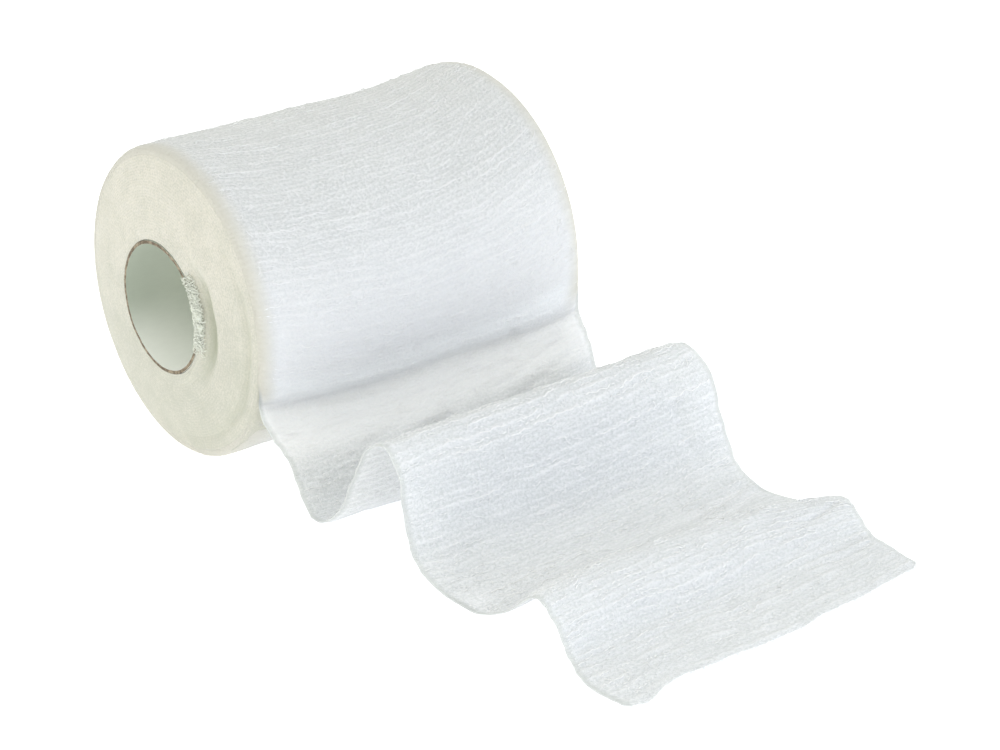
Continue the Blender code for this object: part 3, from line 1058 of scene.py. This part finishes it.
def spun_body(section: list[tuple[float, float]], steps: int) -> bmesh.types.BMesh:
    """Spin a closed section round the roll's axle.

    Args:
        section: Its corners as (x, radius), in millimetres.
        steps: Steps of the full turn.

    Returns:
        The body in metres, with its faces outwards.
    """
    body = bmesh.new()
    verts = [body.verts.new((x * MM, 0.0, (AXLE_Z + radius) * MM)) for x, radius in section]
    for first, second in zip(verts, verts[1:] + verts[:1]):
        body.edges.new((first, second))
    bmesh.ops.spin(
        body,
        geom=list(body.verts) + list(body.edges),
        cent=(0.0, 0.0, AXLE_Z * MM),
        axis=(1.0, 0.0, 0.0),
        angle=FULL_TURN,
        steps=steps,
        use_merge=True,
    )
    bmesh.ops.remove_doubles(body, verts=body.verts, dist=0.0005 * MM)
    bmesh.ops.recalc_face_normals(body, faces=body.faces)
    return body


def finish_mesh(
    name: str, body: bmesh.types.BMesh, materials: list[bpy.types.Material], smooth_deg: float
) -> bpy.types.Object:
    """Turn a body into an object of the scene.

    Args:
        name: Name of the piece.
        body: The shape in metres, which is used up.
        materials: Finishes in the order of the faces' indices.
        smooth_deg: Edges sharper than this stay crisp.

    Returns:
        The object, at the origin.
    """
    mesh = bpy.data.meshes.new(name)
    body.to_mesh(mesh)
    body.free()
    for material in materials:
        mesh.materials.append(material)
    mesh.shade_smooth()
    mesh.set_sharp_from_angle(angle=math.radians(smooth_deg))
    return add_object(name, mesh)


@dataclass(frozen=True)
class Thread:
    """A fine thread: its points in millimetres and its radius at each of them."""

    points: Array
    radii: Array


def threads_piece(
    name: str, threads: list[Thread], material: bpy.types.Material
) -> bpy.types.Object:
    """Make one mesh of many threads.

    Args:
        name: Name of the piece.
        threads: The threads.
        material: Their finish.

    Returns:
        The object, at the origin.
    """
    ring = bpy.data.curves.new(f"{name} section", "CURVE")
    corners = ring.splines.new("POLY")
    corners.points.add(THREAD_SIDES - 1)
    for index, corner in enumerate(corners.points):
        turn = FULL_TURN * index / THREAD_SIDES
        corner.co = (MM * math.cos(turn), MM * math.sin(turn), 0.0, 1.0)
    corners.use_cyclic_u = True
    section = add_object(ring.name, ring)
    curve = bpy.data.curves.new(f"{name} lines", "CURVE")
    curve.dimensions = "3D"
    curve.bevel_mode = "OBJECT"
    curve.bevel_object = section
    curve.use_fill_caps = True
    for thread in threads:
        spline = curve.splines.new("POLY")
        spline.points.add(len(thread.points) - 1)
        spots = np.column_stack((thread.points * MM, np.ones(len(thread.points))))
        spline.points.foreach_set("co", spots.ravel())
        spline.points.foreach_set("radius", thread.radii)
    lines = add_object(curve.name, curve)
    bpy.context.view_layer.update()
    solid = lines.evaluated_get(bpy.context.evaluated_depsgraph_get())
    mesh = bpy.data.meshes.new_from_object(solid)
    mesh.name = name
    for helper in (lines, section):
        bpy.data.objects.remove(helper, do_unlink=True)
    mesh.materials.clear()
    mesh.materials.append(material)
    mesh.shade_smooth()
    return add_object(name, mesh)


@dataclass
class ClothPieces:
    """The strip as two sheets that meet just above the valley, and the yarns on them."""

    surface: StripSurface
    wound: GauzeFinish = GauzeFinish()
    # a darker copy of the wound gauze: painted shade that tones the loose end down
    loose: GauzeFinish = GauzeFinish(
        ground=(0.57, 0.59, 0.6), yarn=(0.845, 0.855, 0.88), light_through=0.9, light_reach=1.8
    )
    yarn: YarnFinish = YarnFinish()
    # painted light: how much paler the under face is painted, for light shining through
    under_face_painted_light: float = 0.2
    first_yarn_at: float = 26.0
    first_fibre_at: float = 60.0
    bare_by_cut: float = 3.0
    wound_fibres: int = 620
    loose_fibres: int = 420
    yarn_step: float = 0.45
    bead_pitch: float = 1.3
    yarn_radius: float = 0.08
    bead_radius: float = 0.04
    yarn_lift: float = 0.4
    yarn_sunk: float = 0.22
    rim_sunk: float = 0.3
    fewest_points: int = 7
    fibre_points: int = 6
    settling_rounds: int = 12

    def build(self) -> None:
        """Build and dress all the pieces of the strip."""
        yarn = self.yarn.material("yarn")
        joint = self.surface.joint_row
        last_turn = self.sheet(
            "last_turn", slice(0, joint + 1), self.wound.material("wound gauze")
        )
        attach(last_turn, "root")
        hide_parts("roll")

        loose_end = self.sheet(
            "loose_cloth", slice(joint, None), self.loose.material("loose gauze")
        )
        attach(loose_end, "root")
        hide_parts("loose_end")

        strip = self.surface.strip
        valley, end = strip.leaves_at, strip.length
        wound_threads = self.yarns(self.first_yarn_at, valley, 41)
        wound_threads += self.fibres(self.first_fibre_at, valley - 4, self.wound_fibres, 43)
        loose_threads = self.yarns(valley, end - self.bare_by_cut, 42)
        loose_threads += self.fibres(valley + 4, end - 1, self.loose_fibres, 44)
        turn_yarns = threads_piece("turn_yarns", wound_threads, yarn)
        loose_yarns = threads_piece("loose_yarns", loose_threads, yarn)
        for piece, slot in ((turn_yarns, "wound_cloth"), (loose_yarns, "cloth")):
            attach(piece, "root")
            log.info("%s: %d faces", piece.name, len(piece.data.polygons))

    def sheet(self, name: str, rows: slice, material: bpy.types.Material) -> bpy.types.Object:
        """Closed sheet over some rows of the strip.

        Args:
            name: Name of the piece.
            rows: The rows of the strip that it covers.
            material: Its finish.

        Returns:
            The object, at the origin.
        """
        surface, strip = self.surface, self.surface.strip
        faces = np.stack((surface.under[rows], surface.upper[rows])) * MM
        down, side = faces.shape[1] - 1, faces.shape[2] - 1
        body = bmesh.new()
        bmesh.ops.create_grid(body, x_segments=side, y_segments=down, size=1.0)
        raised = bmesh.ops.extrude_face_region(body, geom=list(body.faces), use_keep_orig=True)
        upper = [item for item in raised["geom"] if isinstance(item, bmesh.types.BMVert)]
        bmesh.ops.translate(body, verts=upper, vec=(0.0, 0.0, 1.0))
        made = finish_mesh(name, body, [material], 60)

        mesh = made.data
        spots = read_points(mesh)
        row = np.round((spots[:, 1] + 1) / 2 * down).astype(int)
        column = np.round((spots[:, 0] + 1) / 2 * side).astype(int)
        layer = (spots[:, 2] > 0.5).astype(int)
        move_points(mesh, faces[layer, row, column])

        width = surface.shares * STRIP_WIDTH
        place, across = np.meshgrid(surface.places, width, indexing="ij")
        marks = {
            "ridge": strip.crinkles(place, across),
            "ridge_number": strip.ridge_numbers(place, across),
            "rim": surface.rim_cream(),
            # painted light: whiter low on the roll's front and by the valley
            "pale": surface.painted_light_share(),
            "dark_edge_band": surface.dark_edge_band(),
            "through": surface.through(),
        }
        for mark, values in marks.items():
            mark_points(mesh, mark, values[rows][row, column])
        # painted light: the cloth's under face is painted paler, standing in for light through it
        mark_points(mesh, "under_face", self.under_face_painted_light * (1 - layer))
        corner = np.empty(len(mesh.loops), np.int32)
        mesh.loops.foreach_get("vertex_index", corner)
        along = surface.places[rows][row] / MAP_ALONG
        uv = np.column_stack((width[column] / MAP_ACROSS, along))[corner]
        mesh.uv_layers.new(name="strip").data.foreach_set("uv", uv.astype(np.float32).ravel())

        body = bmesh.new()
        body.from_mesh(mesh)
        bmesh.ops.recalc_face_normals(body, faces=body.faces)
        body.to_mesh(mesh)
        body.free()
        mesh.update()
        log.info("%s: %d faces", name, len(mesh.polygons))
        return made

    def yarns(self, start: float, end: float, seed: int) -> list[Thread]:
        """Crimped yarns that run along the crinkle ridges and come up in short beads.

        Args:
            start: Where along the strip the first ridge may be, in millimetres.
            end: Where the last one may be.
            seed: Picks the pattern.

        Returns:
            The yarns as threads.
        """
        strip = self.surface.strip
        picks = np.random.default_rng(seed)
        reach = np.arange(0.9, STRIP_WIDTH - 0.8, self.yarn_step)
        at_rim = 1 - ease(np.minimum(reach, STRIP_WIDTH - reach) / 5.5)
        ends = np.array([[start], [end]]) + 0 * reach
        numbers = strip.ridge_numbers(ends, reach[None, :] + 0 * ends)
        span = (numbers[0].mean(), numbers[1].mean())
        made = []
        first, last = 2 * math.floor(numbers[0].min()), 2 * math.ceil(numbers[1].max())
        for half in range(first, last + 1):
            number = half / 2
            place = np.interp(number, span, (start, end)) + 0 * reach
            for _ in range(self.settling_rounds):
                place = place - 1.6 * (strip.ridge_numbers(place, reach) - number)
            beat = reach / self.bead_pitch + 0.5 * strip.pucker_noise.at(reach / 4, place / 3)
            bead = wave(beat + picks.uniform())
            strength = strip.strength(np.full_like(reach, half // 2), reach)
            strength = strength * (1 - 0.3 * (half % 2))
            dash = strip.swell_noise.at(reach / 2.1, half * 1.37 + 0 * reach)
            strength = strength * ease(0.5 + 1.1 * dash)
            stray = strip.pucker_noise.at(reach / 1.5, half * 0.83 + 0 * reach)
            place = place + 0.3 * stray + 0.13 * np.sin(math.pi * beat + picks.uniform(0, 6))
            lift = (0.04 + self.yarn_lift * strength) * (0.5 + 0.5 * bead) - self.yarn_sunk
            lift -= self.rim_sunk * at_rim * (1 - ease((place - strip.leaves_at + 8) / 8))
            radii = (self.yarn_radius + self.bead_radius * bead) * picks.uniform(0.85, 1.15)
            inside = (place > start + 0.1) & (place < end - 0.1)
            for run in np.split(np.arange(len(reach)), np.flatnonzero(np.diff(inside)) + 1):
                if inside[run[0]] and len(run) >= self.fewest_points:
                    points = self.surface.point(place[run], reach[run] / STRIP_WIDTH, lift[run])
                    made.append(Thread(points, radii[run]))
        return made

    def fibres(self, start: float, end: float, count: int, seed: int) -> list[Thread]:
        """Short curled fibres that lie scattered over the cloth.

        Args:
            start: Where along the strip the first may be, in millimetres.
            end: Where the last one may be.
            count: How many there are.
            seed: Picks the pattern.

        Returns:
            The fibres as threads.
        """
        picks = np.random.default_rng(seed)
        part = np.linspace(0.0, 1.0, self.fibre_points)
        lift = 0.02 + 0.12 * np.sin(part * math.pi)
        made = []
        for _ in range(count):
            heading = picks.uniform(0, math.pi)
            curl = picks.uniform(-3.2, 3.2)
            step = picks.uniform(0.8, 2.2) / 5
            headings = heading + curl * part
            across = picks.uniform(3, STRIP_WIDTH - 3) + np.cumsum(np.cos(headings)) * step
            place = picks.uniform(start, end - 2) + np.cumsum(np.sin(headings)) * step
            across = np.clip(across, 1.0, STRIP_WIDTH - 1.0)
            points = self.surface.point(np.clip(place, start, end), across / STRIP_WIDTH, lift)
            made.append(Thread(points, np.full(len(part), picks.uniform(0.045, 0.075))))
        return made


@dataclass(frozen=True)
class Hollow:
    """A groove pressed into an end face along part of a turn, or a swelling with depth below 0.

    Angles are from -Y, positive upwards.
    """

    radius: float
    half_width: float
    depth: float
    middle_deg: float
    spread_deg: float


HOLLOWS = (
    Hollow(17.5, 1.35, 2.5, 0.0, 56.0),
    Hollow(15.2, 0.8, -0.5, -42.0, 38.0),
    Hollow(27.4, 1.0, 0.85, -18.0, 85.0),
    Hollow(25.2, 1.4, 0.35, -30.0, 60.0),
)


@dataclass
class WoundTurns:
    """The turns under the last one, whose edges show at both ends of the roll."""

    strip: Strip
    steps: int = 288
    ring_step: float = 0.19
    core_gap: float = 0.05
    under_cloth: float = 0.62
    turn_pitch: float = 0.57
    turn_relief: float = 0.02
    face_unevenness: float = 0.12
    fine_unevenness: float = 0.03
    press_in: float = 0.014
    press_in_deg: float = 60.0
    darkest_depth: float = 2.6
    far_face_turned: float = 2.0
    far_face_share: float = 0.6
    floor: float = 0.05
    felt: EdgeFeltFinish = EdgeFeltFinish()
    noise: SoftNoise = SoftNoise(21, 48)
    fine_noise: SoftNoise = SoftNoise(22, 360)

    def section(self) -> list[tuple[float, float]]:
        """Section of the body.

        Returns:
            A closed loop of (x, radius) in millimetres, from the near bore.
        """
        edge = ROLL_RADIUS - self.strip.rim_rounding
        bore = CORE_RADIUS + self.core_gap
        radii = np.linspace(bore, edge, round((edge - bore) / self.ring_step))
        outside = ROLL_RADIUS - self.under_cloth
        near, far = (
            [(face_x - float(self.strip.slide(radius)), float(radius)) for radius in radii]
            for face_x in (-HALF_WIDTH, HALF_WIDTH)
        )
        points = near + [(near[-1][0] + 0.25, edge + 0.4), (near[-1][0] + 0.9, outside)]
        points += [(x, outside) for x in (-20.0, 0.0, 10.0, 18.0, 24.0, 30.0, 34.0)]
        points += [(HALF_WIDTH - 1.0, outside), (HALF_WIDTH + 0.1, edge + 0.5)]
        return points + far[::-2]

    def build(self) -> None:
        """Build the body, with its dished far face, domed near face and their hollows."""
        body = spun_body(self.section(), self.steps)
        made = finish_mesh("wound_turns", body, [self.felt.material("edge felt")], 60)
        self.shape(made.data)
        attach(made, "root")
        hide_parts("roll")
        log.info("%s: %d faces", made.name, len(made.data.polygons))

    def shape(self, mesh: bpy.types.Mesh) -> None:
        """Flare the far rim, press the hollows in, mark their depth for the painted shade in them
        and make the turns' edges uneven.

        Args:
            mesh: The turned body, which is changed.
        """
        x, y, z = read_points(mesh).T.astype(float) / MM
        rise = z - AXLE_Z
        radius = np.hypot(y, rise)
        turn = np.arctan2(-y, -rise)
        wide = self.strip.outer_radius(x, turn) / ROLL_RADIUS
        stretch = 1 + (wide - 1) * ease((radius - CORE_RADIUS) / (ROLL_RADIUS - CORE_RADIUS))
        behind = ease((x + 6) / 10) * (1 - ease((x - 33) / 3)) * ease((radius - 27) / 3)
        off = (np.degrees(turn) - self.press_in_deg) / 15
        stretch -= self.press_in * behind * np.exp(-(off**2))
        y, rise = y * stretch, rise * stretch

        near = ease((-30.0 - x) / 5)
        # painted shade: how deep each place lies in a hollow, for its darker colour
        angle = np.arctan2(rise, -y)
        shade = self.hollows(radius, angle) * near / self.darkest_depth
        mark_points(mesh, "hollow", np.clip(shade, 0.0, 1.0))
        x += self.face_relief(radius, angle) * near
        far_relief = self.face_relief(radius, angle + self.far_face_turned)
        x += far_relief * self.far_face_share * ease((x - 30.0) / 3)
        move_points(mesh, np.column_stack((x, y, np.maximum(AXLE_Z + rise, self.floor))) * MM)

    def face_relief(self, radius: Array, angle: Array) -> Array:
        """How far each place on an end face is pressed in, in millimetres.

        Args:
            radius: Distances from the axis.
            angle: Angles from -Y, positive upwards, in radians.

        Returns:
            Depths, positive into the roll.
        """
        lap = angle / FULL_TURN
        cells = self.noise.size
        spiral = radius / self.turn_pitch - lap
        uneven = self.noise.at(lap * cells, radius / 2.5)
        edges = np.cos(FULL_TURN * (spiral + 0.12 * uneven))
        clear = 0.6 + 0.4 * self.noise.at(lap * cells + 7, radius / 1.2)
        depth = self.turn_relief * edges * clear
        broad = self.face_unevenness * self.noise.at(lap * 12, radius / 6)
        fine = self.fine_noise.at(lap * self.fine_noise.size, radius / 0.35)
        depth += broad + self.fine_unevenness * fine
        depth *= 1 - 0.85 * ease((radius - 27.5) / 2)
        inner = ease((radius - CORE_RADIUS) / 0.9)
        return (depth + self.hollows(radius, angle)) * (0.25 + 0.75 * inner)

    def hollows(self, radius: Array, angle: Array) -> Array:
        """Depth of the pressed hollows and of the swollen lip inside them.

        Args:
            radius: Distances from the axis.
            angle: Angles from -Y, positive upwards, in radians.

        Returns:
            Depths in millimetres.
        """
        lap = angle / FULL_TURN
        depth = np.zeros_like(radius)
        for hollow in HOLLOWS:
            off = np.degrees(angle) - hollow.middle_deg
            off = np.abs((off + 180) % 360 - 180)
            wobble = 0.35 * self.noise.at(lap * 24, np.full_like(lap, hollow.radius))
            across = (radius - (hollow.radius + wobble)) / hollow.half_width
            depth += hollow.depth * ease(1 - off / hollow.spread_deg) * np.exp(-(across**2))
        return depth


@dataclass
class CardCore:
    """Card tube in the middle of the roll."""

    outer_radius: float = 13.62
    wall: float = 0.66
    near_x: float = -41.25
    far_x: float = 33.9
    steps: int = 144
    nick_depth: float = 0.09
    card: CardFinish = CardFinish()
    noise: SoftNoise = SoftNoise(51, 72)

    def build(self) -> None:
        """Build and dress the tube."""
        inner = self.outer_radius - self.wall
        section = [
            (self.near_x, inner),
            (self.near_x, self.outer_radius),
            (self.far_x, self.outer_radius),
            (self.far_x, inner),
        ]
        body = spun_body(section, self.steps)
        for face in body.faces:
            face.material_index = 0 if abs(face.normal.x) > 0.5 else 1
        finishes = [self.card.material(side) for side in (Side.EDGE, Side.WALL)]
        made = finish_mesh("card_core", body, finishes, 40)
        self.nick_the_edge(made.data)
        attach(made, "root")
        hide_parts("core")
        log.info("%s: %d faces", made.name, len(made.data.polygons))

    def nick_the_edge(self, mesh: bpy.types.Mesh) -> None:
        """Make the near cut edge of the card slightly uneven.

        Args:
            mesh: The tube, which is changed.
        """
        for vert in mesh.vertices:
            if vert.co.x < 0:
                lap = math.atan2(vert.co.z - AXLE_Z * MM, -vert.co.y) / FULL_TURN
                nick = float(self.noise.at(np.array(lap * self.noise.size), np.array(0.5)))
                vert.co.x += self.nick_depth * MM * nick


@dataclass
class FrayedEdge:
    """Fluffed edge of the first turns, which stands over the card on the front side."""

    low_deg: float = -20.0
    high_deg: float = 39.0
    loops_past_deg: float = 4.0
    radius: float = 14.1
    lip_x: float = -41.15
    loops_x: float = -41.35
    thick: float = 1.25
    flattened: float = 0.6
    lip_rounds: int = 16
    lip_lengths: int = 96
    loop_count: int = 560
    loop_points: int = 6
    yarn: YarnFinish = YarnFinish(colour=(0.82, 0.84, 0.76), roughness=0.9)
    felt: EdgeFeltFinish = EdgeFeltFinish(cream=(0.78, 0.8, 0.72), dark_felt_and_shade=(0.64, 0.67, 0.58))

    def build(self) -> None:
        """Build the soft lip and its loops of fibre."""
        lip = self.lip()
        loops = threads_piece("frayed_loops", self.loops(), self.yarn.material("frayed fibre"))
        for piece in (lip, loops):
            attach(piece, "root")
            log.info("%s: %d faces", piece.name, len(piece.data.polygons))

    def lip(self) -> bpy.types.Object:
        """Make the soft uneven roll of cloth along the card's edge.

        Returns:
            The object, at the origin.
        """
        body = bmesh.new()
        bmesh.ops.create_grid(
            body, x_segments=self.lip_rounds, y_segments=self.lip_lengths, size=1.0
        )
        noise, fine = SoftNoise(61), SoftNoise(62)
        for vert in body.verts:
            share = (vert.co.y + 1) / 2
            around = (vert.co.x + 1) * math.pi
            angle = math.radians(self.low_deg + (self.high_deg - self.low_deg) * share)
            thick = self.thick * math.sin(math.pi * min(max(share, 0.0), 1.0)) ** 0.8
            uneven = 0.38 * float(noise.at(np.array(share * 17), np.array(math.cos(around) + 3)))
            uneven += 0.28 * float(fine.at(np.array(share * 44), np.array(around * 2)))
            size = max(thick * (0.8 + uneven), 0.01)
            radius = self.radius + size * math.cos(around) * 1.15
            x = self.lip_x - size * math.sin(around) * self.flattened
            y, z = -radius * math.cos(angle), AXLE_Z + radius * math.sin(angle)
            vert.co = Vector((x * MM, y * MM, z * MM))
        bmesh.ops.remove_doubles(body, verts=body.verts, dist=0.002 * MM)
        bmesh.ops.holes_fill(body, edges=[edge for edge in body.edges if edge.is_boundary])
        bmesh.ops.recalc_face_normals(body, faces=body.faces)
        return finish_mesh("frayed_lip", body, [self.felt.material("frayed felt")], 180)

    def loops(self) -> list[Thread]:
        """Make small loops of fibre that stand out of the lip.

        Returns:
            The loops as threads.
        """
        picks = np.random.default_rng(63)
        part = np.linspace(0.0, 1.0, self.loop_points)
        lowest = self.low_deg - self.loops_past_deg
        spread = self.high_deg - self.low_deg + 2 * self.loops_past_deg
        made = []
        for _ in range(self.loop_count):
            angle = math.radians(lowest + spread * picks.beta(1.6, 1.6))
            radius = picks.uniform(13.0, 15.9)
            reach = picks.uniform(0.5, 1.5)
            lean = picks.uniform(0, FULL_TURN)
            off_radial = reach * (part - 0.5) * math.cos(lean)
            off_round = reach * (part - 0.5) * math.sin(lean) + 0.2 * np.sin(part * 5 + lean)
            out = picks.uniform(0.15, 0.6) * np.sin(part * math.pi) + 0.3
            spot = radius + off_radial
            turned = angle + off_round / radius
            x = self.loops_x - out + 0.42 * np.abs(spot - self.radius)
            points = np.column_stack((x, -spot * np.cos(turned), AXLE_Z + spot * np.sin(turned)))
            made.append(Thread(points, np.full(len(part), picks.uniform(0.05, 0.09))))
        return made


@dataclass(frozen=True)
class SoftBox:
    """A soft square light and where it hangs round the bandage, in millimetres."""

    name: str
    azimuth_deg: float
    elevation_deg: float
    distance: float
    size: float
    power: float
    colour: Colour


@dataclass(frozen=True)
class Studio:
    """Pale floor, soft light and the camera, at the angle that the bandage is seen from."""

    azimuth_deg: float = -36.72
    elevation_deg: float = 22.495
    tilt_deg: float = -1.942
    distance: float = 581.17
    shift_right: float = -2.398
    shift_up: float = 3.977
    target: Triple = (0.0, -60.0, 20.0)
    lens: float = 108.97
    sensor_width: float = 36.0
    key_light: SoftBox = SoftBox("key light", 16.0, 9.0, 1000.0, 500.0, 3.5, (0.74, 0.81, 1.0))
    side_light: SoftBox = SoftBox(
        "side light", -100.0, 60.0, 1000.0, 400.0, 0.85, (1.0, 0.97, 0.92)
    )
    surroundings: Colour = (0.985, 1.0, 0.96)
    surroundings_strength: float = 0.96
    floor_size: float = 3.0
    floor_colour: Colour = (0.94, 0.94, 0.94)
    floor_roughness: float = 0.9
    floor_glow: Colour = (0.96, 0.98, 1.0)
    floor_glow_strength: float = 0.57

    def build(self) -> None:
        """Set up everything that isn't the bandage."""
        self.floor()
        self.world()
        bpy.context.scene.view_settings.view_transform = "Standard"
        for box in (self.key_light, self.side_light):
            self.hang(box)
        self.camera()

    def towards(self, azimuth_deg: float, elevation_deg: float) -> Vector:
        """Direction from the object to a place round it."""
        a, e = math.radians(azimuth_deg), math.radians(elevation_deg)
        return Vector((math.sin(a) * math.cos(e), -math.cos(a) * math.cos(e), math.sin(e)))

    def camera(self) -> None:
        """Place the camera."""
        back = self.towards(self.azimuth_deg, self.elevation_deg)
        a = math.radians(self.azimuth_deg)
        level = Vector((math.cos(a), math.sin(a), 0.0))
        upright = back.cross(level)
        tilt = math.radians(self.tilt_deg)
        right = math.cos(tilt) * level + math.sin(tilt) * upright
        up = -math.sin(tilt) * level + math.cos(tilt) * upright
        eye = Vector(self.target) + back * self.distance
        eye += right * self.shift_right + up * self.shift_up

        data = bpy.data.cameras.new("camera")
        data.lens = self.lens
        data.sensor_width = self.sensor_width
        data.clip_start = 0.01
        camera = add_object("camera", data)
        turned = Matrix((right, up, back)).transposed().to_4x4()
        camera.matrix_world = Matrix.Translation(eye * MM) @ turned
        bpy.context.scene.camera = camera

    def hang(self, box: SoftBox) -> None:
        """Hang a light round the bandage, turned to it.

        Args:
            box: The light.
        """
        data = bpy.data.lights.new(box.name, "AREA")
        data.shape = "SQUARE"
        data.size = box.size * MM
        data.energy = box.power
        data.color = box.colour
        lamp = add_object(box.name, data)
        way = self.towards(box.azimuth_deg, box.elevation_deg)
        lamp.location = (Vector(self.target) + way * box.distance) * MM
        lamp.rotation_euler = way.to_track_quat("Z", "Y").to_euler()

    def world(self) -> None:
        """Make even, nearly white surroundings."""
        world = bpy.data.worlds.new("surroundings")
        world.use_nodes = True
        shader = world.node_tree.nodes["Background"]
        shader.inputs["Color"].default_value = (*self.surroundings, 1.0)
        shader.inputs["Strength"].default_value = self.surroundings_strength
        bpy.context.scene.world = world

    def floor(self) -> None:
        """Lay the wide pale floor."""
        body = bmesh.new()
        bmesh.ops.create_grid(body, x_segments=1, y_segments=1, size=self.floor_size)
        graph = ShaderGraph("pale floor")
        graph.shade(
            {
                "Base Color": (*self.floor_colour, 1.0),
                "Roughness": self.floor_roughness,
                "Emission Color": (*self.floor_glow, 1.0),
                "Emission Strength": self.floor_glow_strength,
            }
        )
        finish_mesh("floor", body, [graph.material], 30)


def main() -> None:
    """Build the bandage piece by piece around the frame."""
    logging.basicConfig(level=logging.INFO, format="%(message)s")
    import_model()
    strip = Strip()
    ClothPieces(StripSurface(strip)).build()
    WoundTurns(strip).build()
    CardCore().build()
    FrayedEdge().build()
    Studio().build()


if __name__ == "__main__":
    main()
